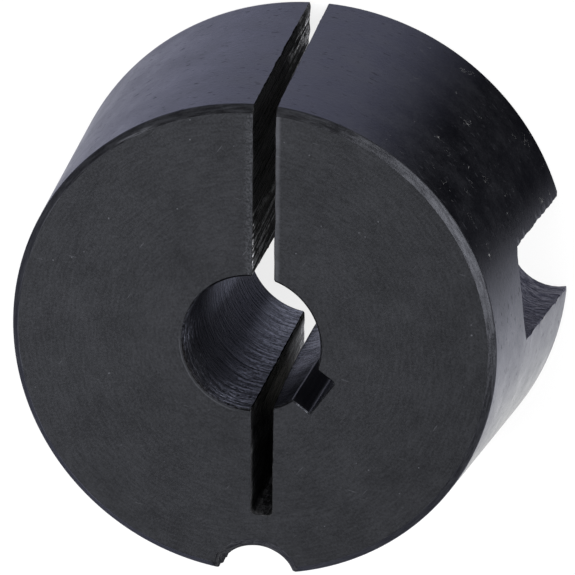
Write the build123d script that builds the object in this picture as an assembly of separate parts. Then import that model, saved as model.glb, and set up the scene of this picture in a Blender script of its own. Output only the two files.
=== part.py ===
"""Taper bush: a split conical bush that clamps a keyed shaft in a tapered hub.

The bush is one piece of metal. Its outside is a cone of eight degrees included angle.
A saw cut splits the ring from top to bore, and runs on as a relief slit below the bore, so
that the ring can close on the shaft. Three screw holes lie on the joint between bush and hub,
so the bush holds the inner half of each: two plain blind ones, which its grub screws push
against to drive it in, and one tapped through, which a grub screw jacks it out by.

Frame: the axis of the bore is Z, the large end lies on Z = 0 and the small end faces +Z.
The saw cut is on +Y, and the tapped half-hole is below it on -Y.
"""
import os
from math import cos, radians, sin, sqrt, tan

from build123d import *

# Cone and its two rims
large_end_diameter = 38.4
bush_length = 22.3
taper_half_angle = 4.0
large_rim_chamfer = 0.3
small_rim_chamfer = 0.5

# Shaft bore and keyway
shaft_diameter = 10.0
bore_edge_break = 0.15
key_width = 3.0
keyway_depth = 1.4  # from the bore's wall to the floor, on the key's centre line
keyway_angle = -36.0  # from +X, about the axis
keyway_corner_radius = 0.2

# Saw cut: it splits the ring, crosses the bore and stops at the relief slit's floor
saw_cut_width = 1.6
saw_cut_lean = 1.9  # the blade's lean out of line with the axis, in degrees
relief_floor_reach = 13.0  # from the axis to the relief slit's floor
relief_corner_radius = 0.35

# Screw half-holes, all on one circle
screw_circle_diameter = 36.9
plain_hole_diameter = 7.0
plain_hole_depth = 12.7  # from the large end to the rim of the radiused bottom
plain_hole_bottom_radius = 5.4
plain_hole_mouth_chamfer = 0.4
plain_hole_angles = (6.5, 186.5)  # from +X, about the axis
tapping_diameter = 5.6
tapped_hole_countersink = 0.75
tapped_hole_angle = -89.0

# Cutting tools run this far past the faces that they cut through
overrun = 1.0


def cone_radius(height):
    """Radius of the outer cone at a height above the large end, its chamfers left out."""
    return large_end_diameter / 2 - height * tan(radians(taper_half_angle))


def conical_blank():
    """Solid cone frustum with a chamfer round each rim, turned from its half section."""
    large_rim = cone_radius(0) - large_rim_chamfer
    small_rim = cone_radius(bush_length) - small_rim_chamfer
    half_section = Polyline(
        (0, 0),
        (large_rim, 0),
        (cone_radius(large_rim_chamfer), large_rim_chamfer),
        (cone_radius(bush_length - small_rim_chamfer), bush_length - small_rim_chamfer),
        (small_rim, bush_length),
        (0, bush_length),
        close=True,
    )
    return revolve(Plane.XZ * make_face(half_section), Axis.Z)


def through_hole(radius, edge_break):
    """Cutter for a straight hole on Z that breaks both end faces with a 45 degree edge."""
    mouth = radius + edge_break + overrun
    half_section = Polyline(
        (0, -overrun),
        (mouth, -overrun),
        (radius, edge_break),
        (radius, bush_length - edge_break),
        (mouth, bush_length + overrun),
        (0, bush_length + overrun),
        close=True,
    )
    return revolve(Plane.XZ * make_face(half_section), Axis.Z)


def plain_hole():
    """Cutter for a blind hole on Z from the large end, with a radiused bottom."""
    radius = plain_hole_diameter / 2
    crown = plain_hole_bottom_radius - sqrt(plain_hole_bottom_radius**2 - radius**2)
    outline = Polyline(
        (0, plain_hole_depth + crown),
        (0, -overrun),
        (radius + plain_hole_mouth_chamfer + overrun, -overrun),
        (radius, plain_hole_mouth_chamfer),
        (radius, plain_hole_depth),
    )
    bottom = RadiusArc(
        (radius, plain_hole_depth),
        (0, plain_hole_depth + crown),
        -plain_hole_bottom_radius,
    )
    return revolve(Plane.XZ * make_face(outline + bottom), Axis.Z)


def on_screw_circle(angle):
    """Place on the screw circle, at an angle from +X about the axis."""
    reach = screw_circle_diameter / 2
    return Pos(reach * cos(radians(angle)), reach * sin(radians(angle)), 0)


def keyway():
    """Cutter for the keyway: a slot as wide as the key, with small radii along its floor."""
    floor_reach = shaft_diameter / 2 + keyway_depth
    slot = Pos(floor_reach / 2, 0) * Rectangle(floor_reach, key_width)
    floor_corners = slot.vertices().sort_by(Axis.X)[-2:]
    slot = fillet(floor_corners, keyway_corner_radius)
    length = bush_length + 2 * overrun
    return Pos(0, 0, -overrun) * Rot(0, 0, keyway_angle) * extrude(slot, length)


def saw_cut():
    """Cutter for the split and the relief slit, made by one blade that leans out of line.

    At the small end the blade's left side is on the axis, and its right side is one cut width
    beyond. The cut is drawn on a plane above the small end and carried down along the lean.
    """
    top = large_end_diameter / 2 + overrun
    height = top + relief_floor_reach
    slit = Pos(saw_cut_width / 2, top - height / 2) * Rectangle(saw_cut_width, height)
    floor_corners = slit.vertices().sort_by(Axis.Y)[:2]
    slit = fillet(floor_corners, relief_corner_radius)
    sideways = tan(radians(saw_cut_lean))
    above = Pos(overrun * sideways, 0, bush_length + overrun) * slit
    run = (bush_length + 2 * overrun) / cos(radians(saw_cut_lean))
    return extrude(above, run, dir=(-sideways, 0, -1))


def taper_bush():
    """The finished bush: the blank less its bore, keyway, half-holes and saw cut."""
    bush = conical_blank()
    bush -= through_hole(shaft_diameter / 2, bore_edge_break)
    bush -= keyway()
    for angle in plain_hole_angles:
        bush -= on_screw_circle(angle) * plain_hole()
    jacking_hole = through_hole(tapping_diameter / 2, tapped_hole_countersink)
    bush -= on_screw_circle(tapped_hole_angle) * jacking_hole
    bush -= saw_cut()
    return bush


parts = {"taper_bush": taper_bush()}

os.makedirs("parts", exist_ok=True)
for name, part in parts.items():
    export_step(part, f"parts/{name}.step")
    box = part.bounding_box()
    print(name, "solids", len(part.solids()), "volume", round(part.volume, 1), "mm3", box.size)
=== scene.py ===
"""Taper bush: the look of a split conical clamping bush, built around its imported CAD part.

The bush is laid out in millimetres in the part's own frame: the bore's axis is Z, the large
end lies on Z = 0, the small end faces +Z and the saw cut is on +Y. Its skin is one closed
surface, woven from grids that share their edges. The meshes are in metres.
"""
from __future__ import annotations

import logging
from collections.abc import Callable
from dataclasses import dataclass, field
from enum import IntEnum
from functools import cached_property
from math import cos, pi, radians, sin, sqrt, tan
from typing import Any

import bmesh
import bpy
import numpy as np
from mathutils import Matrix, Vector

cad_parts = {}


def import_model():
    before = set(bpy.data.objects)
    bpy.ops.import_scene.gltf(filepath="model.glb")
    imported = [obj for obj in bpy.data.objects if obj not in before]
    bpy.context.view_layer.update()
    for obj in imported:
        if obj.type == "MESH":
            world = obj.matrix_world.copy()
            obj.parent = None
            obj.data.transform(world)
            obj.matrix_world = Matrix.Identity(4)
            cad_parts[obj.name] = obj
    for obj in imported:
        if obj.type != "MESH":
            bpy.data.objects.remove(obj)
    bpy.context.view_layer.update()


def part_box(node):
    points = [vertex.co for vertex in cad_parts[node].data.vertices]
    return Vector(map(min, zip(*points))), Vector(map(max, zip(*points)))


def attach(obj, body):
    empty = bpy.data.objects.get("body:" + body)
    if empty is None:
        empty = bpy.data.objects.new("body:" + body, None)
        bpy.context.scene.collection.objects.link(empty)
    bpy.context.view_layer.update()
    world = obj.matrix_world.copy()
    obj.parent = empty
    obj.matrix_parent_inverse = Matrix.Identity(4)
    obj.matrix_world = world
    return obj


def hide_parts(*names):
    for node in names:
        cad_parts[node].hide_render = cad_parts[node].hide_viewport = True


log = logging.getLogger("taper_bush")

MM = 0.001
SAME_POINT = 0.0015 * MM
SHARP_ANGLE = 32.0

Pair = tuple[float, float]
Triple = tuple[float, float, float]


class Zone(IntEnum):
    """The machined surfaces of the bush, each with its own finish."""

    TURNED_END = 0
    CONE = 1
    RIM = 2
    BORE = 3
    SAWN = 4
    KEYWAY = 5
    DRILLED = 6
    TAPPED = 7


class Side(IntEnum):
    """The two walls of the saw cut, as seen from the small end."""

    LEFT = -1
    RIGHT = 1


# ---- Sizes and uneven edges ----


@dataclass(frozen=True)
class BushSizes:
    """Sizes of the bush in millimetres and degrees, as its CAD part has them."""

    length: float = 22.3
    large_end_diameter: float = 38.4
    half_taper: float = 4.0
    bore_radius: float = 5.0
    bore_edge_break: float = 0.15
    key_width: float = 3.0
    keyway_floor: float = 6.4
    keyway_angle: float = -36.0
    keyway_corner: float = 0.2
    cut_width: float = 1.6
    cut_lean: float = 1.9
    relief_floor: float = 13.0
    relief_corner: float = 0.35
    screw_circle: float = 18.45
    plain_radius: float = 3.5
    plain_depth: float = 12.7
    plain_bottom_radius: float = 5.4
    plain_mouth: float = 0.4
    plain_angles: Pair = (6.5, -173.5)
    crest_radius: float = 2.8
    root_radius: float = 3.16
    thread_pitch: float = 1.27
    countersink: float = 0.75
    tapped_angle: float = -89.0

    def cone(self, height: np.ndarray) -> np.ndarray:
        """Radius of the cone: it shrinks with height by the tangent of the half taper."""
        return self.large_end_diameter / 2 - height * tan(radians(self.half_taper))

    def from_end(self, height: np.ndarray) -> np.ndarray:
        """Distance from a height to the nearer end face."""
        return np.minimum(height, self.length - height)


@dataclass(frozen=True)
class Ripple:
    """A repeatable uneven wave, between about -1 and 1, over one or two directions."""

    seed: int
    shortest: float
    longest: float
    count: int = 10

    def __call__(self, along: np.ndarray, across: np.ndarray | float = 0.0) -> np.ndarray:
        """The sum of sine waves of random lengths, headings and starts, over its spread.

        Args:
            along: positions along the first direction, in millimetres.
            across: positions along the second direction, in millimetres.

        Returns:
            The wave's height at each position.
        """
        draw = np.random.default_rng(self.seed)
        lengths = np.exp(draw.uniform(np.log(self.shortest), np.log(self.longest), self.count))
        headings = draw.uniform(0, 2 * pi, self.count)
        starts = draw.uniform(0, 2 * pi, self.count)
        along, across = np.broadcast_arrays(np.asarray(along, float), across)
        run = along[..., None] * np.cos(headings) + across[..., None] * np.sin(headings)
        return np.sin(2 * pi * run / lengths + starts).sum(-1) / sqrt(self.count)


# ---- Skin ----


@dataclass
class Patch:
    """A grid of points, rows by columns by three, and the zone of all or each of its cells."""

    points: np.ndarray
    zones: np.ndarray | Zone

    def cell_zones(self) -> np.ndarray:
        """The zone of each cell, in the order of the grid's faces."""
        rows, columns = self.points.shape[:2]
        return np.broadcast_to(self.zones, (rows - 1, columns - 1)).reshape(-1)


def corners(rows: int, columns: int) -> np.ndarray:
    """Four point numbers for each cell of a grid, whose points are numbered row by row."""
    at = np.arange(rows * columns).reshape(rows, columns)
    return np.stack((at[:-1, :-1], at[:-1, 1:], at[1:, 1:], at[1:, :-1]), axis=-1).reshape(-1, 4)


def polar(radius: np.ndarray, angle: np.ndarray) -> np.ndarray:
    """Points in the plane: radius times the cosine and sine of the angle in radians."""
    radius, angle = np.broadcast_arrays(radius, angle)
    return np.stack([radius * np.cos(angle), radius * np.sin(angle)], axis=-1)


def between(start: np.ndarray, end: np.ndarray, shares: np.ndarray) -> np.ndarray:
    """Values at shares of the way from start to end, as a new last axis."""
    return start[..., None] + (end - start)[..., None] * shares


def lifted(flat: np.ndarray, height: np.ndarray) -> np.ndarray:
    """Points in space: plane points by row, with each row's height as the third number."""
    return np.dstack([flat, np.broadcast_to(height[:, None], flat.shape[:2])])


@dataclass
class BushSkin:
    """The bush's closed surface, woven from grids of rows in height and columns around.

    The outer chain of columns runs clockwise, seen from the small end, from the saw cut's
    right wall round the cone and its half-holes to the cut's left wall. The inner chain runs
    the same way round the bore, the keyway and the relief slit. The two saw-cut walls and
    the two end faces join the chains. A rim's profile gives pairs of a distance from the end
    face and an inset from the cone.
    """

    size: BushSizes = field(default_factory=BushSizes)
    end_steps: tuple[float, ...] = (0, 0.04, 0.1, 0.15, 0.22, 0.3, 0.38, 0.46, 0.56, 0.65, 0.75)
    lower_rows: int = 64
    upper_rows: int = 48
    dome_rows: int = 8
    cone_columns: tuple[int, int, int, int] = (40, 54, 44, 40)
    plain_columns: int = 24
    tapped_columns: int = 26
    inner_cells: int = 15
    outer_cells: int = 9
    corner_cells: int = 3
    relief_cells: int = 15
    across_cells: int = 6
    ring_radius: float = 13.9
    ring_spread: float = 17.0
    tapped_spread: float = 15.0
    small_rim: tuple[Pair, ...] = ((0, 0.505), (0.46, 0.045), (0.56, 0))
    large_rim: tuple[Pair, ...] = ((0, 0.34), (0.04, 0.25), (0.22, 0.08), (0.38, 0))
    plain_chips: Pair = (0.13, 0.10)
    tapped_chips: Pair = (0.07, 0.05)
    bottom_chip: float = 0.09
    bottom_rounds: int = 6
    thread_rounds: int = 8
    mouth_corner: Pair = (0.32, 0.6)
    long_edge: float = 0.07
    cut_edge: float = 0.035
    cut_depth: float = 13.0
    cut_twist: float = 0.28
    saw_mark: float = 0.02
    mark_range: Pair = (0.1, 0.9)
    ridge_height: float = 0.35
    ridge_range: Pair = (0.05, 0.98)
    relief_bow: float = 0.75
    narrow_cells: Pair = (0.012, 0.97)
    key_cells: tuple[int, int] = (4, 14)
    key_break: float = 0.1
    key_lip: Pair = (0.06, 0.08)
    relief_lip: float = 0.08

    def __post_init__(self) -> None:
        """Lays out the rows, which crowd near the end faces, and the shares between chains.

        The shares run from the inner chain to the middle ring, with a narrow first cell, and
        from there to the outer chain, with a narrow last cell. The bend is a quarter turn.
        """
        size = self.size
        steps = np.array(self.end_steps)
        lower = np.linspace(steps[-1], size.plain_depth, self.lower_rows)
        upper = np.linspace(size.plain_depth, size.length - steps[-1], self.upper_rows)
        self.low = np.concatenate([steps[:-1], lower])
        self.high = np.concatenate([upper, size.length - steps[-2::-1]])
        self.rows = np.concatenate([self.low, self.high[1:]])
        first, last = self.narrow_cells
        self.inner_shares = np.concatenate([[0], np.linspace(first, 1, self.inner_cells)])
        self.outer_shares = np.concatenate([np.linspace(0, last, self.outer_cells), [1]])
        self.bend = np.linspace(0, pi / 2, self.corner_cells + 1)[1:]

    # -- profiles --

    def outside(self, height: np.ndarray) -> np.ndarray:
        """Radius outside: the cone less a rim inset that grows towards each end face."""
        small = np.interp(self.size.length - height, *zip(*self.small_rim))
        return self.size.cone(height) - small - np.interp(height, *zip(*self.large_rim))

    def bore(self, height: np.ndarray) -> np.ndarray:
        """Radius of the bore: straight, and wider by a 45 degree break at each end."""
        return self.size.bore_radius + self.broken(height, self.size.bore_edge_break)

    def broken(self, height: np.ndarray, amount: np.ndarray | float) -> np.ndarray:
        """Width of an edge break: its amount less the distance to the end face, or none."""
        return np.maximum(0, amount - self.size.from_end(height))

    def cut_side(self, side: Side, height: np.ndarray) -> np.ndarray:
        """A saw-cut wall's X: it leans, and the left wall is on the axis at the small end."""
        lean = (height - self.size.length) * tan(radians(self.size.cut_lean))
        return lean + (self.size.cut_width if side is Side.RIGHT else 0.0)

    def cut_flare(self, side: Side, height: np.ndarray, reach: np.ndarray) -> np.ndarray:
        """Width of the saw cut's uneven edge break at the end faces, along the cut."""
        wave = 1 + 0.25 * Ripple(31 + side, 0.7, 6.0)(reach)
        return self.broken(height, (self.cut_edge + 0.03 * side) * wave)

    def thread(self, height: np.ndarray, turn: np.ndarray) -> np.ndarray:
        """Radius of the tapped hole: a right-hand thread, or the countersink if wider.

        Args:
            height: heights above the large end.
            turn: angles about the hole's own axis, in radians.

        Returns:
            The crest's radius plus the share of the thread's depth that a rounded triangle
            wave has at height less pitch times turns; countersunk at 45 degrees at both ends.
        """
        size = self.size
        phase = np.mod(height / size.thread_pitch - turn / (2 * pi), 1.0)
        depth = np.clip((np.abs(2 * phase - 1) - 0.1) / 0.8, 0, 1)
        depth = depth * (1 + 0.06 * Ripple(5, 0.8, 3.0)(height, 3 * turn))
        groove = size.crest_radius + (size.root_radius - size.crest_radius) * depth
        sink = size.crest_radius + self.broken(height, size.countersink)
        return np.maximum(groove, sink)

    # -- half-holes --

    def meeting(self, height: np.ndarray, radius: np.ndarray) -> tuple[np.ndarray, np.ndarray]:
        """Where a hole's circle crosses the outside, from the line through the hole.

        Args:
            height: heights above the large end.
            radius: the hole's radius there.

        Returns:
            The crossing's angle about the bush's axis and its angle about the hole's own
            axis. The two circles' equations, subtracted, give how far out they cross.
        """
        centre = self.size.screw_circle
        outside = self.outside(height)
        out = (outside**2 + centre**2 - radius**2) / (2 * centre)
        beside = np.sqrt(np.maximum(outside**2 - out**2, 0))
        return np.arctan2(beside, out), np.arctan2(beside, out - centre)

    def lumps(self, seed: int, height: np.ndarray, amount: float) -> np.ndarray:
        """Width of a worn, lumpy edge: a small bevel with rounded chips of uneven size."""
        chips = 0.45 + 0.5 * Ripple(seed, 0.7, 2.2)(height) + 0.35 * Ripple(seed + 1, 2.0, 7.0)(height)
        return 0.05 + amount * np.clip(chips, 0, 1.4)

    def hole_rows(
        self, height: np.ndarray, radius: np.ndarray, turn: np.ndarray, ends: tuple[np.ndarray, ...]
    ) -> np.ndarray:
        """Rows of a half-hole that is centred on the X axis.

        Args:
            height: each row's height above the large end.
            radius: the wall's radius about the hole's own axis.
            turn: the wall points' angles about that axis.
            ends: the angles on the cone of the first and last columns, by row.

        Returns:
            The points: one on the cone, the wall's, and one on the cone.
        """
        wall = polar(radius, turn)
        wall[..., 0] += self.size.screw_circle
        first, last = [polar(self.outside(height), angle)[:, None] for angle in ends]
        return lifted(np.concatenate([first, wall, last], axis=1), height)

    def plain_hole(self, number: int) -> tuple[Patch, np.ndarray, np.ndarray]:
        """A plain blind half-hole, with the cone above it.

        Args:
            number: which of the plain holes.

        Returns:
            The patch, and the angles of its first and last columns on the cone, by row,
            which stay the same above the hole. The wall is a circle about the hole's axis.
            From its foot the bottom runs straight out to the cone, on a sphere about a
            point on that axis. The cone's rows above it share the height that is left.
        """
        size, low, high = self.size, self.low, self.high
        middle, seed = radians(size.plain_angles[number]), 40 + 10 * number
        bore = size.plain_radius + np.maximum(0, size.plain_mouth - low)
        across, around = self.meeting(low, bore)
        corner = self.mouth_corner[0] * np.exp(-low / self.mouth_corner[1])
        wide, narrow = self.plain_chips
        edge = [(self.lumps(seed + 2 * k, low, wide) + corner) / size.cone(low) for k in (0, 1)]
        inset = [self.lumps(seed + 4 + 2 * k, low, narrow) / bore for k in (0, 1)]
        inner = np.linspace(0, 1, self.plain_columns - 1)
        turn = between(around + inset[0], 2 * pi - around - inset[1], inner)
        first, last = across + edge[0], -across - edge[1]
        lower = self.hole_rows(low, bore[:, None], turn, (first, last))

        foot = lower[-1, :, :2]
        squat = sqrt(size.plain_bottom_radius**2 - size.plain_radius**2)

        def bottom(out: np.ndarray) -> np.ndarray:
            """Height of the round bottom under points this far out."""
            reach = (out - size.screw_circle) ** 2 + foot[:, 1] ** 2
            return size.plain_depth + np.sqrt(size.plain_bottom_radius**2 - reach) - squat

        end = foot[:, 0].copy()
        for _ in range(self.bottom_rounds):
            end = np.sqrt(size.cone(bottom(end)) ** 2 - foot[:, 1] ** 2)
        end[[0, -1]] = foot[[0, -1], 0]
        chip = self.bottom_chip * (1 + 0.5 * Ripple(seed + 9, 0.6, 3.0)(foot[:, 1]))
        chip = np.minimum(chip, 0.4 * (end - foot[:, 0]))
        shares = np.linspace(0, 1, self.dome_rows + 1)[1:, None]
        out = foot[:, 0] + shares * (end - chip - foot[:, 0])
        rise = np.array([bottom(row) for row in out])
        rise[:, [0, -1]] = size.plain_depth
        dome = np.dstack([out, np.broadcast_to(foot[:, 1], out.shape), rise])

        base = bottom(end) + chip
        base[[0, -1]] = size.plain_depth
        top = size.length - self.end_steps[-1]
        share = np.clip((high - size.plain_depth) / (top - size.plain_depth), 0, 1)[:, None]
        rows = np.where(high[:, None] > top, high[:, None], base + share * (top - base))
        angle = np.arctan2(foot[:, 1], end)
        angle[0], angle[-1] = first[-1], last[-1]
        upper = np.dstack([polar(self.outside(rows), angle), rows])

        points = self.turned(np.concatenate([lower, dome, upper]), middle)
        zones = self.cone_zones(points)
        zones[: len(low) + self.dome_rows] = Zone.DRILLED
        spare = np.ones(len(high) - 1)
        start, end = [np.append(edge, edge[-1] * spare) + middle for edge in (first, last)]
        return Patch(points, zones), start, end

    def tapped_hole(self) -> tuple[Patch, np.ndarray, np.ndarray]:
        """The tapped half-hole, right through.

        Returns:
            The patch, and the angles of its first and last columns on the cone, by row.
            Each wall point is at the thread's radius about the hole's own axis. Where the
            thread meets the cone is found by going back and forth between the two a few
            times.
        """
        size, rows = self.size, self.rows
        middle = radians(size.tapped_angle)
        crossings = []
        for sign in (1, -1):
            turn = np.full_like(rows, pi / 2)
            for _ in range(self.thread_rounds):
                across, turn = self.meeting(rows, self.thread(rows, sign * turn))
            crossings.append((across, turn))
        wide, narrow = self.tapped_chips
        edge = [self.lumps(70 + k, rows, wide) / size.cone(rows) for k in (0, 1)]
        inset = [self.lumps(74 + k, rows, narrow) / size.crest_radius for k in (0, 1)]
        inner = np.linspace(0, 1, self.tapped_columns - 1)
        turn = between(crossings[0][1] + inset[0], 2 * pi - crossings[1][1] - inset[1], inner)
        first, last = crossings[0][0] + edge[0], -crossings[1][0] - edge[1]
        points = self.hole_rows(rows, self.thread(rows[:, None], turn), turn, (first, last))
        patch = Patch(self.turned(points, middle), Zone.TAPPED)
        return patch, first + middle, last + middle

    @staticmethod
    def turned(points: np.ndarray, angle: float) -> np.ndarray:
        """The points turned about Z by an angle in radians."""
        spin = np.array([[cos(angle), sin(angle), 0], [-sin(angle), cos(angle), 0], [0, 0, 1]])
        return points @ spin

    # -- cone --

    def cone_zones(self, points: np.ndarray) -> np.ndarray:
        """Cone, or rim where a cell lies within the inset of an end face.

        Args:
            points: a grid of points on the outside.

        Returns:
            The zone of each of the grid's cells.
        """
        middle = (points[:-1, :-1, 2] + points[1:, 1:, 2]) / 2
        small = middle > self.size.length - self.small_rim[-1][0]
        large = middle < self.large_rim[-1][0]
        return np.where(small | large, Zone.RIM, Zone.CONE)

    def cone_arc(self, start: np.ndarray, end: np.ndarray, cells: int) -> Patch:
        """A stretch of the cone, its angles spread evenly from start to end in each row.

        Args:
            start: the first column's angle, by row.
            end: the last column's angle.
            cells: how many cells the stretch has.

        Returns:
            The patch.
        """
        angle = between(start, end, np.linspace(0, 1, cells + 1))
        points = lifted(polar(self.outside(self.rows)[:, None], angle), self.rows)
        return Patch(points, self.cone_zones(points))

    # -- saw cut --

    def sawn(self, side: Side, seed: int, reach: np.ndarray, slope: float) -> np.ndarray:
        """Shallow saw marks along the axis, by row and reach, for one wall.

        Args:
            side: which wall.
            seed: which of the repeatable waves to use.
            reach: distances from the axis along the cut.
            slope: how much the marks lean out of line with the axis.

        Returns:
            How far back the marks move the wall.
        """
        rows = self.rows[:, None]
        marks = Ripple(seed + side, 0.9, 2.5)(reach[None, :] + slope * rows, 0.06 * rows)
        return self.saw_mark * np.clip(marks, -1.5, 1.5)

    def cut_wall(self, side: Side) -> np.ndarray:
        """One wall of the split, rows by columns from the bore to the cone.

        Args:
            side: which wall.

        Returns:
            The points. X is the leaning blade's side, moved back by the end faces' edge
            break, by a small bevel in the first and last columns, and by shallow saw marks
            that run along the axis. The left wall also twists a little into the cut towards
            the large end, in uneven ridges. Y is spread from the bore through the end faces'
            middle ring to the cone.
        """
        rows, plane = self.rows, self.cut_side(side, self.rows)
        shares = np.linspace(0, 1, self.inner_cells + self.outer_cells + 1)
        reach = self.size.bore_radius + self.cut_depth * shares
        keep = (shares > self.mark_range[0]) * (shares < self.mark_range[1])
        shift = self.cut_flare(side, rows[:, None], reach[None, :])
        shift = shift + self.sawn(side, 90, reach, 0.05) * keep
        bevel = np.zeros_like(shift)
        for column, seed in ((0, 94), (-1, 96)):
            bevel[:, column] = self.long_edge + 0.03 * Ripple(seed + side, 0.8, 4)(rows)
        x = plane[:, None] + side * (shift + bevel)
        if side is Side.LEFT:
            keep = (shares > self.ridge_range[0]) * (shares < self.ridge_range[1])
            ridges = 1 + self.ridge_height * Ripple(98, 0.3, 1.2)(reach) * keep
            x += self.cut_twist * shares * ridges * (1 - rows[:, None] / self.size.length)
        start = np.sqrt(self.bore(rows) ** 2 - x[:, 0] ** 2)
        ring = np.sqrt(self.ring_radius**2 - x[:, self.inner_cells] ** 2)
        end = np.sqrt(self.outside(rows) ** 2 - x[:, -1] ** 2)
        inner = between(start, ring, self.inner_shares)
        outer = between(ring, end, self.outer_shares)
        y = np.concatenate([inner, outer[:, 1:]], axis=1)
        return lifted(np.stack([x, y], axis=-1), rows)

    # -- inner chain --

    def keyway(self) -> np.ndarray:
        """The keyway's section in each row, from its upper corner on the bore to its lower.

        Returns:
            The points. In the keyway's own axes, out from the bush's axis and across, a
            wall runs straight out, a small quarter circle leads to the flat floor, and the
            rest is the mirror image. The end faces break its edges.
        """
        size, rows = self.size, self.rows
        half = size.key_width / 2 + self.broken(rows, self.key_break)
        lip = half + self.key_lip[0]
        floor = size.keyway_floor + self.broken(rows, self.key_break)
        corner = size.keyway_corner
        start = np.sqrt(self.bore(rows) ** 2 - lip**2)
        wall_cells, floor_cells = self.key_cells
        walls = between(start + self.key_lip[1], floor - corner, np.linspace(0, 1, wall_cells + 1))
        bend_out = (floor - corner)[:, None] + corner * np.sin(self.bend)
        bend_across = (half - corner)[:, None] + corner * np.cos(self.bend)
        shares = np.linspace(0, 1, floor_cells + 1)[1:-1]
        level = between(half - corner, corner - half, shares)
        upper_out = np.concatenate([start[:, None], walls, bend_out], axis=1)
        straight = np.broadcast_to(half[:, None], walls.shape)
        upper_across = np.concatenate([lip[:, None], straight, bend_across], axis=1)
        floors = np.broadcast_to(floor[:, None], level.shape)
        out = np.concatenate([upper_out, floors, upper_out[:, ::-1]], axis=1)
        across = np.concatenate([upper_across, level, -upper_across[:, ::-1]], axis=1)
        local = lifted(np.stack([out, across], axis=-1), rows)
        return self.turned(local, radians(size.keyway_angle))

    def relief_side(self, side: Side, cells: int) -> np.ndarray:
        """One wall of the relief slit, from the bore down to its rounded floor corner.

        Args:
            side: which wall.
            cells: how many cells the straight wall has.

        Returns:
            The points: a bevelled corner on the bore, a straight wall with saw marks along
            the axis, and a quarter circle to the floor. The right wall bows a little
            into the slit, and twists into it towards the large end.
        """
        size, rows, plane = self.size, self.rows, self.cut_side(side, self.rows)
        bore, corner = size.bore_radius, size.relief_corner
        foot = size.relief_floor - corner
        first = bore + self.relief_lip
        reach = np.concatenate([[bore], np.linspace(first, foot, cells)])
        shift = self.cut_flare(side, rows[:, None], -reach[None, :])
        shift = shift + self.sawn(side, 80, reach, 0.0) * (reach > bore + 0.3)
        shift[:, 0] += self.long_edge + 0.02 * Ripple(84 + side, 0.8, 4)(rows)
        x = plane[:, None] + side * shift
        if side is Side.RIGHT:
            share = rows / size.length
            bow = self.cut_twist * (1 - share + self.relief_bow * np.sin(pi * share))
            x -= bow[:, None]
            plane = plane - bow
        top = np.sqrt(self.bore(rows) ** 2 - x[:, 0] ** 2)
        shares = (reach - bore) / (foot - bore)
        y = -between(top, np.full_like(top, foot), shares)
        flare = self.cut_flare(side, rows, np.full_like(rows, -foot))
        bend_x = (plane + side * flare)[:, None] - side * (corner - corner * np.cos(self.bend))
        bend_y = -foot - corner * np.sin(self.bend) - flare[:, None] * np.sin(self.bend)
        wall, floor = np.stack([x, y], axis=-1), np.stack([bend_x, bend_y], axis=-1)
        return lifted(np.concatenate([wall, floor], axis=1), rows)

    def bore_arc(self, start: np.ndarray, end: np.ndarray, cells: int, turns: int) -> np.ndarray:
        """A clockwise arc of the bore in each row, between two points already placed.

        Args:
            start: the point before the arc in each row.
            end: the point after it.
            cells: how many cells the arc has.
            turns: whole turns to take off the end's angle so that the arc runs clockwise.

        Returns:
            The points between the two, without them, at evenly spread angles.
        """
        first = np.arctan2(start[:, 1], start[:, 0])
        last = np.arctan2(end[:, 1], end[:, 0]) - 2 * pi * turns
        angle = between(first, last, np.linspace(0, 1, cells + 1)[1:-1])
        return lifted(polar(self.bore(self.rows)[:, None], angle), self.rows)

    def inner_chain(self, right: np.ndarray, left: np.ndarray) -> Patch:
        """The bore with the keyway and the relief slit, from the cut's right wall round.

        Args:
            right: the right cut wall's points on the bore, one for each row.
            left: the left cut wall's points on the bore.

        Returns:
            The patch, with as many columns as the outer chain.
        """
        cells_a, cells_c, cells_e, cells_g = self.cone_columns
        keyway = self.keyway()
        rest = cells_c + 1 - keyway.shape[1] - self.across_cells - self.corner_cells
        right_relief = self.relief_side(Side.RIGHT, rest)
        left_relief = self.relief_side(Side.LEFT, self.relief_cells)[:, ::-1]
        down = self.bore_arc(right, keyway[:, 0], cells_a + self.plain_columns, 0)
        across = self.bore_arc(keyway[:, -1], right_relief[:, 0], self.across_cells, 0)
        shares = np.linspace(0, 1, self.tapped_columns + 1)[1:-1]
        ends = right_relief[:, -1], left_relief[:, 0]
        floor = np.stack([between(ends[0][:, k], ends[1][:, k], shares) for k in range(3)], -1)
        rest = cells_e + self.plain_columns + cells_g + 1 - left_relief.shape[1]
        up = self.bore_arc(left_relief[:, -1], left, rest, 1)
        pieces = (
            (right[:, None], Zone.BORE),
            (down, Zone.BORE),
            (keyway, Zone.KEYWAY),
            (across, Zone.BORE),
            (right_relief, Zone.SAWN),
            (floor, Zone.SAWN),
            (left_relief, Zone.SAWN),
            (up, Zone.BORE),
            (left[:, None], Zone.BORE),
        )
        points = np.concatenate([piece for piece, _ in pieces], axis=1)
        column = np.concatenate([np.full(p.shape[1], int(zone)) for p, zone in pieces])
        zones = np.where(column[:-1] == column[1:], column[:-1], Zone.BORE)
        return Patch(points, zones)

    # -- end faces --

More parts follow.
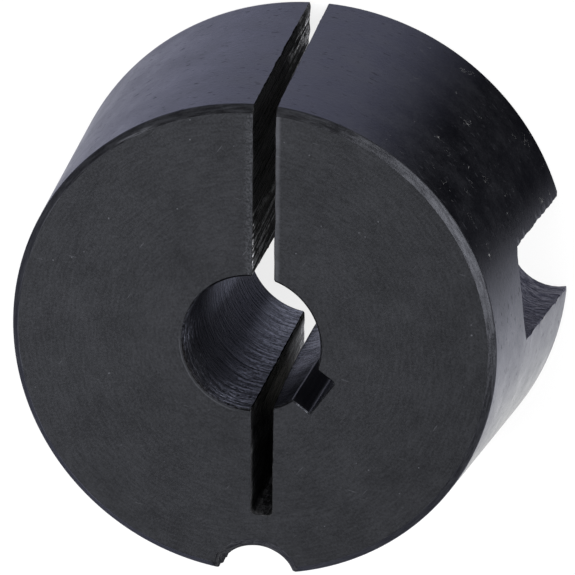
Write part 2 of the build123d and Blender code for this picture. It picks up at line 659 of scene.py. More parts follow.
    def end_face(
        self, inner: np.ndarray, outer: np.ndarray, right: np.ndarray, left: np.ndarray
    ) -> list[Patch]:
        """An end face: one grid out to a middle ring, and one from there to the rim.

        Args:
            inner: the inner chain's points on this face.
            outer: the outer chain's.
            right: the right cut wall's points on this face, from the bore out.
            left: the left cut wall's.

        Returns:
            The two patches. Their points lie on straight lines from the inner chain to the
            ring and from the ring to the outer chain. On the ring, each stretch of columns
            has a spread of angles that keeps those lines clear of the holes.
        """
        at, (first, second) = self.inner_cells, self.size.plain_angles
        start, end = [np.degrees(np.arctan2(p[1], p[0])) for p in (right[at], left[at])]
        stops, columns = [start], []
        for middle, spread, across, along in (
            (first, self.ring_spread, self.plain_columns, self.cone_columns[0]),
            (self.size.tapped_angle, self.tapped_spread, self.tapped_columns, self.cone_columns[1]),
            (second, self.ring_spread, self.plain_columns, self.cone_columns[2]),
        ):
            stops += [middle + spread, middle - spread]
            columns += [along, across]
        stretches = [
            np.linspace(a, b, n + 1)[1:]
            for a, b, n in zip(stops, [*stops[1:], end - 360], [*columns, self.cone_columns[3]])
        ]
        angle = np.radians(np.concatenate([[start], *stretches]))
        ring = np.column_stack([polar(self.ring_radius, angle), inner[:, 2]])
        ring[0], ring[-1] = right[at], left[at]
        inside = inner + (ring - inner) * self.inner_shares[:, None, None]
        inside[:, 0], inside[:, -1] = right[: at + 1], left[: at + 1]
        beyond = ring + (outer - ring) * self.outer_shares[:, None, None]
        beyond[:, 0], beyond[:, -1] = right[at:], left[at:]
        return [Patch(inside, Zone.TURNED_END), Patch(beyond, Zone.TURNED_END)]

    # -- weaving --

    def patches(self) -> list[Patch]:
        """Every grid of the skin, in millimetres, made so that neighbours share points.

        Returns:
            The outer chain's grids in order, the inner chain, the saw cut's walls and the
            end faces.
        """
        right, left = self.cut_wall(Side.RIGHT), self.cut_wall(Side.LEFT)
        edge, last = [np.arctan2(wall[:, -1, 1], wall[:, -1, 0]) for wall in (right, left)]
        outer = []
        holes = (self.plain_hole(0), self.tapped_hole(), self.plain_hole(1))
        for (hole, start, end), columns in zip(holes, self.cone_columns):
            outer += [self.cone_arc(edge, start, columns), hole]
            edge = end
        outer.append(self.cone_arc(edge, last - 2 * pi, self.cone_columns[-1]))
        inner = self.inner_chain(right[:, 0], left[:, 0])
        ends = []
        for row in (0, -1):
            rim = np.concatenate([outer[0].points[row, :1], *(p.points[row, 1:] for p in outer)])
            ends += self.end_face(inner.points[row], rim, right[row], left[row])
        walls = [Patch(wall, Zone.SAWN) for wall in (right, left)]
        return [*outer, inner, *walls, *ends]

    def mesh(self, name: str) -> bpy.types.Mesh:
        """The skin as one closed mesh in metres, its faces pointing outwards.

        Args:
            name: the mesh's name.

        Returns:
            The mesh, with a material number on each face and its sharp edges marked.
        """
        patches = self.patches()
        offsets = np.cumsum([0] + [p.points.shape[0] * p.points.shape[1] for p in patches[:-1]])
        points = np.concatenate([p.points.reshape(-1, 3) for p in patches]) * MM
        faces = [corners(*p.points.shape[:2]) + start for p, start in zip(patches, offsets)]
        zones = np.concatenate([p.cell_zones() for p in patches])
        mesh = bpy.data.meshes.new(name)
        mesh.from_pydata(points.tolist(), [], np.concatenate(faces).tolist())
        mesh.polygons.foreach_set("material_index", zones.astype(np.int32))
        work = bmesh.new()
        work.from_mesh(mesh)
        bmesh.ops.remove_doubles(work, verts=work.verts, dist=SAME_POINT)
        bmesh.ops.recalc_face_normals(work, faces=work.faces)
        volume = work.calc_volume(signed=True) / MM**3
        work.to_mesh(mesh)
        work.free()
        mesh.shade_smooth()
        mesh.set_sharp_from_angle(angle=radians(SHARP_ANGLE))
        used = np.empty(len(mesh.loops), np.int32)
        mesh.loops.foreach_get("edge_index", used)
        loose = np.count_nonzero(np.bincount(used, minlength=len(mesh.edges)) != 2)
        log.info("skin: %d faces, %d open edges, %.0f mm3", len(mesh.polygons), loose, volume)
        return mesh


# ---- Shader writing ----


def operator(operation: str, flipped: bool = False) -> Callable[[Socket, Any], Socket]:
    """An operator of a socket and another value.

    Args:
        operation: the Math node's operation.
        flipped: whether the other value comes first, as in 1 - mask.

    Returns:
        The method, which adds the Math node and gives its result.
    """

    def apply(self: Socket, other: Any) -> Socket:
        """Adds the Math node."""
        return self.math(operation, *((other, self) if flipped else (self, other)))

    return apply


class Socket:
    """A shader value; arithmetic on it adds Math nodes to its board.

    Of two values, least is the smaller and most the larger, and angle_to is the angle
    whose tangent is this value over the other.
    """

    __add__, __radd__ = operator("ADD"), operator("ADD", True)
    __sub__, __rsub__ = operator("SUBTRACT"), operator("SUBTRACT", True)
    __mul__, __rmul__ = operator("MULTIPLY"), operator("MULTIPLY", True)
    least, most, angle_to = operator("MINIMUM"), operator("MAXIMUM"), operator("ARCTAN2")

    def __init__(self, board: Board, output: bpy.types.NodeSocket) -> None:
        """Keeps the node socket and the board that it is on."""
        self.board = board
        self.output = output

    def math(self, operation: str, *values: Any) -> Socket:
        """Adds one Math node for an operation on these values."""
        return self.board.node("ShaderNodeMath", {"operation": operation}, dict(enumerate(values)))

    def __neg__(self) -> Socket:
        """Negative."""
        return self.math("MULTIPLY", self, -1.0)

    def __abs__(self) -> Socket:
        """Absolute value."""
        return self.math("ABSOLUTE", self)

    def root(self) -> Socket:
        """Square root."""
        return self.math("SQRT", self)

    def ramp(self, low: float, high: float) -> Socket:
        """Runs smoothly from 0 at low to 1 at high, or down where low is the larger.

        Args:
            low: the value where the result is 0.
            high: the value where it is 1.

        Returns:
            The smooth step: three times the share's square less twice its cube.
        """
        if low > high:
            return 1 - self.ramp(high, low)
        settings = {"interpolation_type": "SMOOTHSTEP"}
        limits = {"Value": self, "From Min": low, "From Max": high}
        return self.board.node("ShaderNodeMapRange", settings, limits)

    def twin(self, name: str | int) -> Socket:
        """Another output of the same node, by name or number."""
        return Socket(self.board, self.output.node.outputs[name])


class Board:
    """The node tree of a material or of the world, with the coordinates on a piece."""

    def __init__(self, owner: Any, shader: str, end: str) -> None:
        """Clears the owner's nodes and joins a shader to its output.

        Args:
            owner: the material or world.
            shader: the shader node's type.
            end: the output node's type.
        """
        owner.use_nodes = True
        self.owner = owner
        self.tree = owner.node_tree
        self.tree.nodes.clear()
        self.shader = self.tree.nodes.new(shader)
        self.end = self.tree.nodes.new(end).inputs["Surface"]
        self.tree.links.new(self.shader.outputs[0], self.end)

    @staticmethod
    def material(name: str) -> Board:
        """The board of a new material with a Principled shader."""
        owner = bpy.data.materials.new(name)
        return Board(owner, "ShaderNodeBsdfPrincipled", "ShaderNodeOutputMaterial")

    def feed(self, target: bpy.types.NodeSocket, value: Any) -> None:
        """Links a socket to a shader value, or sets its own value.

        Args:
            target: the input socket.
            value: a shader value, or a plain one.
        """
        if isinstance(value, Socket):
            self.tree.links.new(value.output, target)
        else:
            target.default_value = value

    def node(
        self,
        kind: str,
        settings: dict[str, Any] | None = None,
        inputs: dict[Any, Any] | None = None,
        output: str | int | None = None,
    ) -> Socket:
        """Adds one node.

        Args:
            kind: the node's type.
            settings: its settings, set before its sockets.
            inputs: values or links for its input sockets, by name or number.
            output: which output to return, by name or number; the first live one if left out.

        Returns:
            The chosen output.
        """
        made = self.tree.nodes.new(kind)
        for key, value in (settings or {}).items():
            setattr(made, key, value)
        for key, value in (inputs or {}).items():
            self.feed(made.inputs[key], value)
        if output is None:
            output = next(i for i, out in enumerate(made.outputs) if out.enabled)
        return Socket(self, made.outputs[output])

    @cached_property
    def place(self) -> Socket:
        """The point on the piece, in millimetres."""
        inside = self.node("ShaderNodeTexCoord", output="Object")
        return self.node("ShaderNodeVectorMath", {"operation": "SCALE"}, {0: inside, "Scale": 1 / MM})

    @cached_property
    def point(self) -> tuple[Socket, Socket, Socket]:
        """The point's X, Y and Z."""
        across = self.node("ShaderNodeSeparateXYZ", None, {0: self.place})
        return across, across.twin(1), across.twin(2)

    @cached_property
    def radius(self) -> Socket:
        """Distance from the Z axis: the root of the sum of the squares of X and Y."""
        x, y, _ = self.point
        return (x * x + y * y).root()

    @cached_property
    def turn(self) -> Socket:
        """Angle about the Z axis, in radians."""
        return self.point[1].angle_to(self.point[0])

    def vector(self, x: Any, y: Any, z: Any) -> Socket:
        """A vector of three numbers."""
        return self.node("ShaderNodeCombineXYZ", None, {0: x, 1: y, 2: z})

    def noise(self, place: Any, scale: float, detail: float, roughness: float, bend: float = 0.0) -> Socket:
        """Fractal noise, from about 0 to 1.

        Args:
            place: where to look it up: a vector, or its three numbers.
            scale: its coarsest waves for each unit of length.
            detail: how many finer waves are added.
            roughness: each finer wave's strength against the one before.
            bend: how far the noise is pushed about by another.

        Returns:
            The noise.
        """
        vector = place if isinstance(place, Socket) else self.vector(*place)
        inputs = {"Vector": vector, "Scale": scale, "Detail": detail, "Roughness": roughness}
        return self.node("ShaderNodeTexNoise", None, {**inputs, "Distortion": bend})

    def specks(self, vector: Socket, scale: float, size: float, share: float) -> Socket:
        """Small round spots in some of a field's cells: 1 inside a spot.

        Args:
            vector: where to look the field up.
            scale: cells in each unit of length.
            size: a spot's radius, in cells.
            share: the share of cells that have a spot.

        Returns:
            The mask of spots.
        """
        inputs = {"Vector": vector, "Scale": scale}
        distance = self.node("ShaderNodeTexVoronoi", None, inputs, "Distance")
        red = self.node("ShaderNodeSeparateXYZ", None, {0: distance.twin("Color")})
        return distance.ramp(size, size * 0.4) * red.ramp(1 - share, 1 - share + 0.01)

    def strokes(self, vector: Socket, scale: float, width: float) -> Socket:
        """Short curly hair lines in some places: 1 on a line.

        Args:
            vector: where to look the field up.
            scale: how dense the curls are, for each unit of length.
            width: a line's width, as a share of the noise's range.

        Returns:
            The mask of lines: a noise's middle contour, kept where a second noise is high.
        """
        curl = self.noise(vector, scale * 1.5, 0, 0.4, 1.0)
        line = abs(curl - 0.5).ramp(width, width * 0.4)
        where = self.noise(vector, scale * 0.8, 1, 0.4)
        return line * where.ramp(0.655, 0.70)

    def hairs(self, across: Socket, along: Socket, seed: float, share: float) -> Socket:
        """Short straight scratches: a noise stretched along them, where it is high."""
        field = self.noise((across * 5.0, along * 0.45, seed), 1, 1, 0.5)
        return field.ramp(0.80 - share, 0.84 - share)

    def blend(self, share: Socket, low: Any, high: Any) -> Socket:
        """A colour between two, by share."""
        ends = [end if isinstance(end, Socket) else (*end, 1.0) for end in (low, high)]
        return self.node("ShaderNodeMix", {"data_type": "RGBA"}, {0: share, 6: ends[0], 7: ends[1]}, 2)

    def bump(self, height: Socket, depth: float) -> Socket:
        """A normal bent by a height, whose depth from 0 to 1 is in millimetres."""
        inputs = {"Height": height, "Strength": 1.0, "Distance": depth * MM}
        return self.node("ShaderNodeBump", None, inputs)

    def finish(self, **sockets: Any) -> Any:
        """Feeds the shader's sockets.

        Args:
            sockets: their values by name, with underscores for spaces.

        Returns:
            The material or world.
        """
        for name, value in sockets.items():
            self.feed(self.shader.inputs[name.replace("_", " ")], value)
        return self.owner


# ---- Finishes ----


@dataclass(frozen=True)
class Marks:
    """What tool marks, wear and, on some surfaces, painted light do to a finish: shares, and the relief's
    depth in millimetres.
    """

    wear: Socket
    rough: Socket
    height: Socket
    depth: float
    cover: Socket | None = None
    metal: Socket | float = 1.0


@dataclass(frozen=True)
class BlackOxide:
    """Oiled black oxide on a machined surface: dark film, its sheen and its tool marks."""

    name: str
    film: Triple = (0.026, 0.0264, 0.0308)
    worn: Triple = (0.12, 0.124, 0.14)
    cover: Triple = (0.062, 0.062, 0.062)
    sheen: Triple = (0.72, 0.732, 0.878)
    roughness: float = 0.42
    size: BushSizes = BushSizes()

    def marks(self, board: Board) -> Marks:
        """The surface's own marks, which each kind of surface works out."""
        raise NotImplementedError

    def dress(self) -> bpy.types.Material:
        """Blends worn metal, and on some surfaces painted light, into the film, and bends the surface by
        its marks.

        Returns:
            The material.
        """
        board = Board.material(self.name)
        marks = self.marks(board)
        colour = board.blend(marks.wear, self.film, self.worn)
        if marks.cover is not None:
            colour = board.blend(marks.cover, colour, self.cover)
        normal = board.bump(marks.height, marks.depth)
        board.finish(Metallic=marks.metal, Specular_Tint=(*self.sheen, 1.0))
        return board.finish(Base_Color=colour, Roughness=marks.rough, Normal=normal)


class TurnedEnd(BlackOxide):
    """The faced ends: fine rings about the axis, a fine grain, specks and light nicks."""

    def marks(self, board: Board) -> Marks:
        """Works out the faces' marks.

        Args:
            board: the material's board.

        Returns:
            Rings are noise over the distance from the axis. The saw cut's left edge is rubbed; a painted
            highlight runs beside its right edge and round the bore's lower left edge.
        """
        place, radius = board.place, board.radius
        x, y, _ = board.point
        rings = board.noise((radius * 5.0, board.turn * 9.0, 0.0), 1, 3, 0.7)
        cloud = board.noise(place, 0.3, 4, 0.65)
        grain = board.noise(place, 6.0, 3, 0.85)
        dots = board.specks(place, 2.2, 0.17, 0.03) * 0.4
        spots = board.specks(place, 0.5, 0.06, 0.08) * 0.7
        hairs = board.hairs(x * 0.8 - y * 0.6, x * 0.6 + y * 0.8, 3.0, 0.035)
        hairs = hairs.most(board.hairs(x * 0.2 + y, x - y * 0.2, 7.0, 0.035)) * 0.22
        above, past = y.ramp(0.0, 1.0), x - self.size.cut_width
        # painted highlight: a light band on the face beside the saw cut's right edge
        right = past.ramp(0.5, 0.2) * past.ramp(-0.2, 0.0) * above * (cloud * 0.42)
        left = x.ramp(-0.75, -0.2) * x.ramp(0.3, 0.1) * above * grain.ramp(0.42, 0.6) * 0.16
        wear = (rings * 0.3 + grain * 0.5 + cloud * 0.2).ramp(0.34, 0.68) * 0.15
        # painted highlight: a thin light ring just outside the bore's edge break, on its -X, -Y side
        from_bore = abs(radius - (self.size.bore_radius + 0.27) - grain * 0.06)
        bore_edge_highlight = from_bore.ramp(0.06, 0.02) * (-x * 0.8 - y * 0.6).ramp(3.6, 4.7) * 0.2
        light = (wear + dots + spots + hairs + right + left + bore_edge_highlight).least(1.0)
        rough = cloud * 0.16 + grain * 0.1 + (self.roughness - 0.13)
        return Marks(light, rough, rings * 0.3 + grain * 0.7, 0.012)


class TurnedCone(BlackOxide):
    """The cone: turning marks round the axis, flecks, specks and fibres."""

    def marks(self, board: Board) -> Marks:
        """Works out the cone's marks.

        Args:
            board: the material's board.

        Returns:
            Turning marks are noise over height, stretched round the axis. Fibres lie on
            the right side and aren't metallic.
        """
        place, turn = board.place, board.turn
        x, _, z = board.point
        fine = board.noise((z * 3.2, turn * 7.0, 0.0), 1, 3, 0.65)
        smear_and_shade = board.noise((z * 0.5, turn * 2.5, 5.0), 1, 4, 0.65)
        cloud = board.noise(place, 0.25, 4, 0.65)
        grain = board.noise(place, 3.0, 4, 0.75)
        flecks = board.noise((z * 3.4, turn * 22.0, 9.0), 1, 2, 0.6).ramp(0.62, 0.72)
        dots = board.specks(place, 1.5, 0.13, 0.07) * 0.4
        spots = board.specks(place, 0.6, 0.07, 0.10)
        lint = (board.strokes(place, 0.9, 0.013) + spots * 0.8).least(1.0) * x.ramp(7.0, 11.0)
        wear = (smear_and_shade * 0.15 + grain * 0.35 + cloud * 0.5).ramp(0.38, 0.66) * 0.2
        wear = wear + (smear_and_shade.ramp(0.36, 0.7) - 0.4) * x.ramp(4.0, -2.0) * 0.07
        light = (wear.most(0.0) * (1 - flecks * 0.6) + dots).least(1.0)
        rough = cloud * 0.3 + smear_and_shade * 0.08 + flecks * 0.25 + grain * 0.12 + (self.roughness - 0.25)
        height = fine * 0.15 + grain * 0.75 + smear_and_shade * 0.1 - flecks * 0.2
        return Marks(light, rough, height, 0.022, lint, 1 - lint)


class BrokenEdge(BlackOxide):
    """The rims: an even grain, a rubbed line along the end face and a few light scrapes."""

    edge_radius: float = 17.26
    scrape_turn: float = 2.09

    def marks(self, board: Board) -> Marks:
        """Works out the rims' marks.

        Args:
            board: the material's board.

        Returns:
            Scrapes are noise stretched round the axis, in one short stretch of the rim,
            and the rubbed line is at the rim's inner edge on the left.
        """
        place, radius, turn, edge = board.place, board.radius, board.turn, self.edge_radius
        x, _, z = board.point
        top = self.size.length
        cloud = board.noise(place, 0.4, 4, 0.65)
        grain = board.noise(place, 5.0, 3, 0.8)
        streaks = board.noise((radius * 9.0, turn * 8.0, z * 9.0), 1, 2, 0.6)
        scrape = streaks.ramp(0.46, 0.56) * abs(turn - self.scrape_turn).ramp(0.12, 0.04)
        scrape = scrape * radius.ramp(edge + 0.14, edge)
        line = radius.ramp(edge, edge - 0.08) * z.ramp(top - 0.3, top - 0.1)
        line = line * streaks.ramp(0.4, 0.55) * x.ramp(-9.0, -12.0) * 0.3
        turned = board.noise((radius * 5.0, turn * 12.0, z * 5.0), 1, 3, 0.7)
        wear = (turned * 0.55 + grain * 0.2 + cloud * 0.25).ramp(0.38, 0.66) * 0.2
        rough = cloud * 0.2 + turned * 0.2 + grain * 0.1 + (self.roughness - 0.25)
        light = (wear + scrape * 0.7 + line).least(1.0)
        return Marks(light, rough, turned * 0.5 + grain * 0.5, 0.045)


class BoredWall(BlackOxide):
    """The bore: coarse boring marks round the axis, with painted shade, highlights and reflection in
    places.
    """

    def marks(self, board: Board) -> Marks:
        """Works out the bore's marks.

        Args:
            board: the material's board.

        Returns:
            Marks are noise over height, stretched round the axis. They are strong at the front. Painted
            shade darkens them in a band on the -X, -Y side and on the +X side towards the small end;
            painted highlight lightens a band on the -Y side, most deep down, and a strip on the -X side; a
            pale painted reflection lies on the +X side.
        """
        x, y, z = board.point
        top = self.size.length
        fine = board.noise((z * 2.6, board.turn * 1.6, 0.0), 1, 4, 0.7)
        cloud = board.noise(board.place, 0.5, 4, 0.6)
        grain = board.noise(board.place, 4.0, 3, 0.6)
        # painted shade: darker marks in a band on the -X, -Y side, and on the +X side towards the small end
        smear_and_shade = (cloud * 0.5 - x * 0.8 - y * 0.6).ramp(4.35, 5.0)
        smear_and_shade = smear_and_shade.most(x.ramp(0.6, 1.6) * z.ramp(10.0, 19.0) * 0.6)
        # painted highlight: lighter marks in a band on the -Y side, and deep down on the +X side too
        painted_highlight = (-x * 0.34 - y * 0.94).ramp(4.55, 4.95)
        wear = (fine * 0.65 + grain * 0.35).ramp(0.44, 0.62) * (0.8 + painted_highlight * 0.35 - smear_and_shade * 0.72)
        wear = wear + painted_highlight.most(x.ramp(0.6, 1.6)) * z.ramp(16.0, 6.0) * 0.25
        # painted highlight: a lighter strip on the -X side, part way down
        wear = wear + (-x).ramp(4.72, 4.95) * z.ramp(15.5, 12.0) * z.ramp(3.0, 6.0) * 0.36
        wear = wear * (1 - z.ramp(top - 0.22, top - 0.16) * 0.8)
        # painted reflection: a pale lavender cover on the +X side, away from the small end
        painted_reflection = x.ramp(0.8, 1.6) * z.ramp(20.0, 13.0) * cloud.ramp(0.3, 0.6) * 0.45
        rough = cloud * 0.15 + (self.roughness - 0.07)
        return Marks(wear, rough, fine * 0.8 + grain * 0.2, 0.38, painted_reflection)


class SawnWall(BlackOxide):
    """The saw cut: rough blade marks along the axis, with torn bright spots."""

    def marks(self, board: Board) -> Marks:
        """Works out the saw cut's marks.

        Args:
            board: the material's board.

        Returns:
            Marks are noise across the cut's reach, stretched along Z and leaning a little.
            They are bright towards the far, large end, partly as a painted highlight where light comes in
            at the open end, and low in the relief slit, and fade near the end face and the cone. Torn spots
            aren't wholly metallic.
        """
        x, y, z = board.point
        top = self.size.length
        lean = y + z * 0.07
        coarse = board.noise((lean * 1.6, z * 0.08, x), 1, 3, 0.6, 0.2)
        fine = board.noise((lean * 5.0, z * 0.16, x * 2.0), 1, 3, 0.75)
        torn = board.noise((y * 1.5, z * 0.9, x), 1, 4, 0.65)
        marks = coarse * 0.35 + fine * 0.55 + torn * 0.1
        ends = y.ramp(10.5, 8.0).most(z.ramp(11.0, 4.0)) * y.ramp(3.0, 5.0) * 0.92 + 0.08
        relief = y.ramp(-5.2, -5.8) * z.ramp(8.5, 4.0)
        # partly painted highlight: more bright torn marks towards the open large end, where light comes in
        far = z.ramp(6.0, 1.0) * y.ramp(5.0, 12.0)
        wear = (marks + relief * 0.04 + far * 0.05).ramp(0.51, 0.575) * torn.ramp(0.34, 0.5)
        wear = wear * ends.most(relief) * board.noise(board.place, 5.0, 2, 0.7).ramp(0.36, 0.5)
        wear = wear * (1 - z.ramp(top - 0.2, top - 0.1) * 0.8) * (1 - lean.ramp(17.9, 18.7) * 0.9)
        wear = (wear + torn * (y.ramp(-5.0, -9.0) * 0.14 + relief * 0.6 + 0.02)).least(1.0)
        rough = torn * 0.2 + (self.roughness - 0.1)
        height = coarse * 0.4 + fine * 0.45 + torn * 0.15
        return Marks(wear, rough, height, 0.3, metal=1 - wear * 0.7)


class BroachedWall(BlackOxide):
    """The keyway: faint straight broach lines along the axis."""

    def marks(self, board: Board) -> Marks:
        """Works out the keyway's marks.

        Args:
            board: the material's board.

        Returns:
            Lines are noise across the axis, much stretched along it.
        """
        x, y, z = board.point
        lines = board.noise((x * 4.0, y * 4.0, z * 0.12), 1, 3, 0.6)
        grain = board.noise(board.place, 3.0, 4, 0.65)
        wear = (lines * 0.6 + grain * 0.4).ramp(0.45, 0.75) * 0.4
        rough = grain * 0.15 + (self.roughness - 0.07)
        return Marks(wear, rough, lines * 0.6 + grain * 0.4, 0.05)


class DrilledWall(BlackOxide):
    """The half-holes: wavy drill feed marks round each hole."""

    def marks(self, board: Board) -> Marks:
        """Works out a half-hole's marks.

        Args:
            board: the material's board.

        Returns:
            Marks are noise over height, bent by a slow noise so that they wander.
        """
        x, y, z = board.point
        bend = board.noise(board.place, 0.6, 2, 0.5)
        feed = board.noise(((z + bend * 1.4) * 6.0, x * 0.9, y * 0.9), 1, 3, 0.6)
        grain = board.noise(board.place, 3.0, 4, 0.65)
        wear = (feed * 0.65 + grain * 0.35).ramp(0.44, 0.60) * 0.74
        rough = grain * 0.15 + (self.roughness - 0.07)
        return Marks(wear, rough, feed * 0.7 + grain * 0.3, 0.16)


FINISHES = {
    Zone.TURNED_END: TurnedEnd("oxide_turned_end", film=(0.0161, 0.0167, 0.0187)),
    Zone.CONE: TurnedCone("oxide_turned_cone", film=(0.0192, 0.0194, 0.0235), roughness=0.36),
    Zone.RIM: BrokenEdge("oxide_turned_rim", film=(0.011, 0.0113, 0.013), roughness=0.5),
    Zone.BORE: BoredWall(
        "oxide_bored_wall",
        film=(0.005, 0.005, 0.0055),
        worn=(0.16, 0.168, 0.215),
        # pale lavender of the bore's painted reflection
        cover=(0.34, 0.345, 0.42),
        sheen=(0.5, 0.505, 0.55),
    ),
    Zone.SAWN: SawnWall(
        "oxide_sawn_wall",
        film=(0.0035, 0.0035, 0.0038),
        worn=(0.68, 0.69, 0.73),
        sheen=(0.2, 0.2, 0.21),
        roughness=0.5,
    ),
    Zone.KEYWAY: BroachedWall(
        "oxide_broached_wall", film=(0.014, 0.0146, 0.017), sheen=(0.72, 0.73, 0.82)
    ),
    Zone.DRILLED: DrilledWall(
        "oxide_drilled_wall",
        film=(0.006, 0.006, 0.0075),
        worn=(0.10, 0.10, 0.125),
        sheen=(0.55, 0.555, 0.68),
    ),
    Zone.TAPPED: DrilledWall(
        "oxide_tapped_wall",
        film=(0.012, 0.0124, 0.014),
        worn=(0.06, 0.061, 0.066),
        sheen=(0.6, 0.605, 0.66),
    ),
}


def placed(name: str, data: bpy.types.ID) -> bpy.types.Object:
    """A new object in the scene for a mesh, a lamp or a camera.

    Args:
        name: the object's name.
        data: what it shows.

    Returns:
        The object, at the origin.
    """
    made = bpy.data.objects.new(name, data)
    bpy.context.scene.collection.objects.link(made)
    return made


@dataclass
class TaperBush:
    """The bush: its skin, dressed zone by zone, in place of the plain CAD solid."""

    skin: BushSkin = field(default_factory=BushSkin)
    node: str = "taper_bush"
    body: str = "root"
    slot: str = "black_oxide"

    def build(self) -> bpy.types.Object:
        """Makes the piece, gives each zone its finish and puts it on the CAD body.

        Returns:
            The finished object, at the origin.
        """
        piece = placed("bush_body", self.skin.mesh("bush_body"))
        for zone in Zone:
            piece.data.materials.append(FINISHES[zone].dress())
        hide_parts(self.node)
        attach(piece, self.body)
        low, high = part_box(self.node)
        log.info("bush: CAD solid %s to %s", tuple(low), tuple(high))
        return piece


# ---- Studio ----


@dataclass(frozen=True)
class Softbox:
    """An area lamp: where it stands, its width and height in metres and its power in watts."""

    name: str
    place: Triple
    width: float
    height: float
    power: float

    def build(self, aim: Vector) -> bpy.types.Object:
        """Stands the lamp facing a point.

        Args:
            aim: the point, in metres.

        Returns:
            The lamp.
        """
        lamp = bpy.data.lights.new(self.name, "AREA")
        lamp.shape = "RECTANGLE"
        lamp.size, lamp.size_y = self.width, self.height
        lamp.energy = self.power
        stand = placed(self.name, lamp)
        stand.location = self.place
        stand.rotation_euler = (aim - Vector(self.place)).to_track_quat("-Z", "Y").to_euler()
        return stand


@dataclass(frozen=True)
class Viewpoint:
    """The camera: its place in metres, its aim and its right-hand direction, and its lens."""

    place: Triple = (0.09245396, 0.15156275, 0.45234872)
    aim: Triple = (-0.1939499, -0.31760858, -0.92817467)
    right: Triple = (0.97827898, 0.00795032, -0.20714011)
    lens: float = 408.2
    film: float = 36.0
    clip: Pair = (0.01, 50.0)

    def build(self) -> bpy.types.Object:
        """Makes the camera and sets it as the scene's.

        Returns:
            The camera, whose axes are its right, its up and its back.
        """
        back = -Vector(self.aim).normalized()
        right = Vector(self.right).normalized()
        turn = Matrix((right, back.cross(right), back)).transposed().to_4x4()
        data = bpy.data.cameras.new("camera")
        data.lens, data.sensor_width = self.lens, self.film
        data.clip_start, data.clip_end = self.clip
        camera = placed("camera", data)
        camera.matrix_world = Matrix.Translation(self.place) @ turn
        bpy.context.scene.camera = camera
        return camera


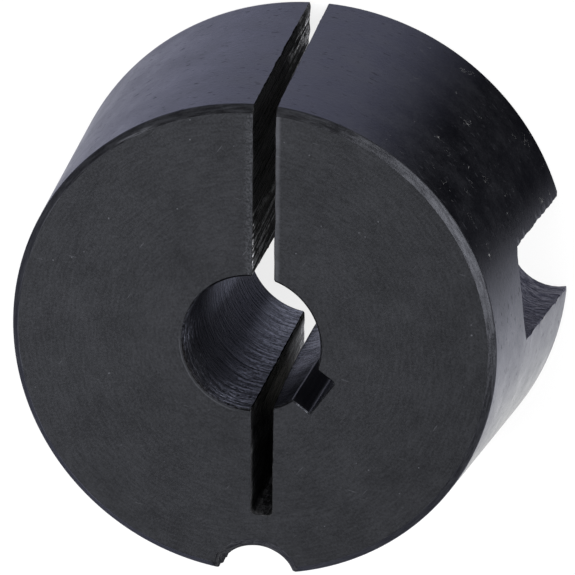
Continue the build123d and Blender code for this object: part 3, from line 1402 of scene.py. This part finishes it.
@dataclass
class Studio:
    """The plain floor, the pale surroundings, the lamps, the painted reflection sheet and the camera.

    Sizes are in millimetres. The sheet's tone corner and heading give the line on which its painted bright
    and dark reflections meet, and its dark turn the angles between which the dark fades.
    """

    floor_side: float = 6000.0
    floor_drop: float = 0.06
    floor_glow: float = 0.8
    ambient: float = 0.55
    sheet_side: float = 160.0
    sheet_cells: int = 16
    sheet_shift: float = 70.0
    sheet_drop: float = 0.03
    tone_corner: Pair = (18.4, 6.6)
    tone_heading: Pair = (0.27, 0.96)
    dark_turn: Pair = (44.0, 78.0)
    painted_glow: float = 2.05
    painted_dark_tone: float = 0.05
    bore_painted_shade: float = 0.2
    lamp_aim: Triple = (0.0, 0.0, 0.011)
    lamps: tuple[Softbox, ...] = (
        Softbox("overhead", (-0.15, 0.25, 0.9), 0.7, 0.7, 4.7),
        Softbox("right_side", (0.53, 0.215, 0.17), 0.66, 0.22, 9.0),
        Softbox("front", (-0.25, -0.10, 0.27), 0.12, 0.12, 0.8),
    )

    @staticmethod
    def pale_ray(board: Board) -> Socket:
        """1 for rays that should meet the plain pale surroundings, otherwise 0."""
        camera = board.node("ShaderNodeLightPath", output="Is Camera Ray")
        return (camera + camera.twin("Is Glossy Ray") + camera.twin("Is Transmission Ray")).least(1.0)

    @staticmethod
    def sheet(name: str, side: float, cells: int, shift: float, drop: float) -> bpy.types.Object:
        """A level square grid under the bush.

        Args:
            name: the sheet's name.
            side: its side, in millimetres.
            cells: how many cells it has along a side.
            shift: how far along X its middle is.
            drop: how far under Z = 0 it lies.

        Returns:
            The sheet, without a material.
        """
        line = np.linspace(-side / 2, side / 2, cells + 1)
        x, y = np.meshgrid(line + shift, line)
        points = np.dstack([x, y, np.full_like(x, -drop)])
        mesh = bpy.data.meshes.new(name)
        mesh.from_pydata((points.reshape(-1, 3) * MM).tolist(), [], corners(*x.shape).tolist())
        return placed(name, mesh)

    def floor(self) -> bpy.types.Object:
        """A square floor just under Z = 0 that stays pale and keeps the bush's shadow.

        Returns:
            The floor: a white surface, mixed with a plain glow for the rays that show it.
        """
        floor = self.sheet("floor", self.floor_side, 1, 0.0, self.floor_drop)
        board = Board.material("pale_floor")
        board.finish(Base_Color=(0.92, 0.92, 0.92, 1.0), Roughness=0.9, Specular_IOR_Level=0.0)
        glow = board.node("ShaderNodeEmission", None, {"Color": (1, 1, 1, 1), "Strength": 1.0})
        surface = Socket(board, board.shader.outputs[0])
        share = self.pale_ray(board) * self.floor_glow
        mixed = board.node("ShaderNodeMixShader", None, {0: share, 1: surface, 2: glow})
        board.feed(board.end, mixed)
        floor.data.materials.append(board.owner)
        return floor

    def painted_reflection_sheet(self) -> bpy.types.Object:
        """A flat glowing sheet beside the bush that only reflections show: its tones are painted
        reflections.

        Returns:
            The sheet: a flat grid just over the floor, a painted dark reflection to the right of the bush
                and a painted bright reflection, glowing brighter than white, in front of that. The tones
                meet softly, and the far edges fade out. In the bore it is painted shade away from the saw
                cut, where the bush keeps light off the floor.
        """
        painted_reflection_sheet = self.sheet("painted_reflection_sheet", self.sheet_side, self.sheet_cells, self.sheet_shift, self.sheet_drop)
        board = Board.material("painted_reflection_tones")
        x, y, _ = board.point
        turn = board.turn * (180 / pi)
        # painted reflections: dark to the right of the bush, glowing brighter than white in front of it
        past = (x - self.tone_corner[0]) * self.tone_heading[0]
        past = past + (y - self.tone_corner[1]) * self.tone_heading[1]
        bright = past.ramp(0.0, -14.0) * (self.painted_glow - 1.0) + past.ramp(1.3, -3.6)
        tone = bright + turn.ramp(*self.dark_turn) + self.painted_dark_tone
        cover = turn.ramp(90.0, 80.0) * turn.ramp(-100.0, -80.0) * board.radius.ramp(70.0, 45.0)
        # painted shade on the floor under the bore, lighter towards the saw cut
        inside = board.radius.ramp(10.0, 9.0)
        shade = x.ramp(2.0, -1.6) * 1.1 + y.ramp(-5.0, 3.0) * 0.4 + self.bore_painted_shade
        bright = bright * (1 - inside)
        tone = tone * (1 - inside) + shade * inside
        colour = board.vector(tone, tone - bright * 0.01, tone - bright * 0.165)
        board.finish(Base_Color=(0, 0, 0, 1), Roughness=1.0, Specular_IOR_Level=0.0)
        board.finish(Emission_Color=colour, Emission_Strength=1.0, Alpha=cover.most(inside))
        painted_reflection_sheet.data.materials.append(board.owner)
        for kind in ("camera", "diffuse", "shadow", "transmission"):
            setattr(painted_reflection_sheet, f"visible_{kind}", False)
        return painted_reflection_sheet

    def surroundings(self) -> None:
        """White to the camera and to reflections, and a softer light on everything else."""
        world = bpy.data.worlds.new("surroundings")
        board = Board(world, "ShaderNodeBackground", "ShaderNodeOutputWorld")
        levels = {"Value": self.pale_ray(board), "To Min": self.ambient, "To Max": 1.0}
        board.finish(Strength=board.node("ShaderNodeMapRange", None, levels))
        bpy.context.scene.world = world

    def build(self) -> None:
        """Sets the stage, and the plain colour transform."""
        self.floor()
        self.painted_reflection_sheet()
        self.surroundings()
        for lamp in self.lamps:
            lamp.build(Vector(self.lamp_aim))
        Viewpoint().build()
        bpy.context.scene.view_settings.view_transform = "Standard"
        log.info("studio: %d lamps", len(self.lamps))


def main() -> None:
    """Builds the bush around its CAD part and the studio."""
    logging.basicConfig(level=logging.INFO, format="%(name)s: %(message)s")
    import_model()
    TaperBush().build()
    Studio().build()


if __name__ == "__main__":
    main()
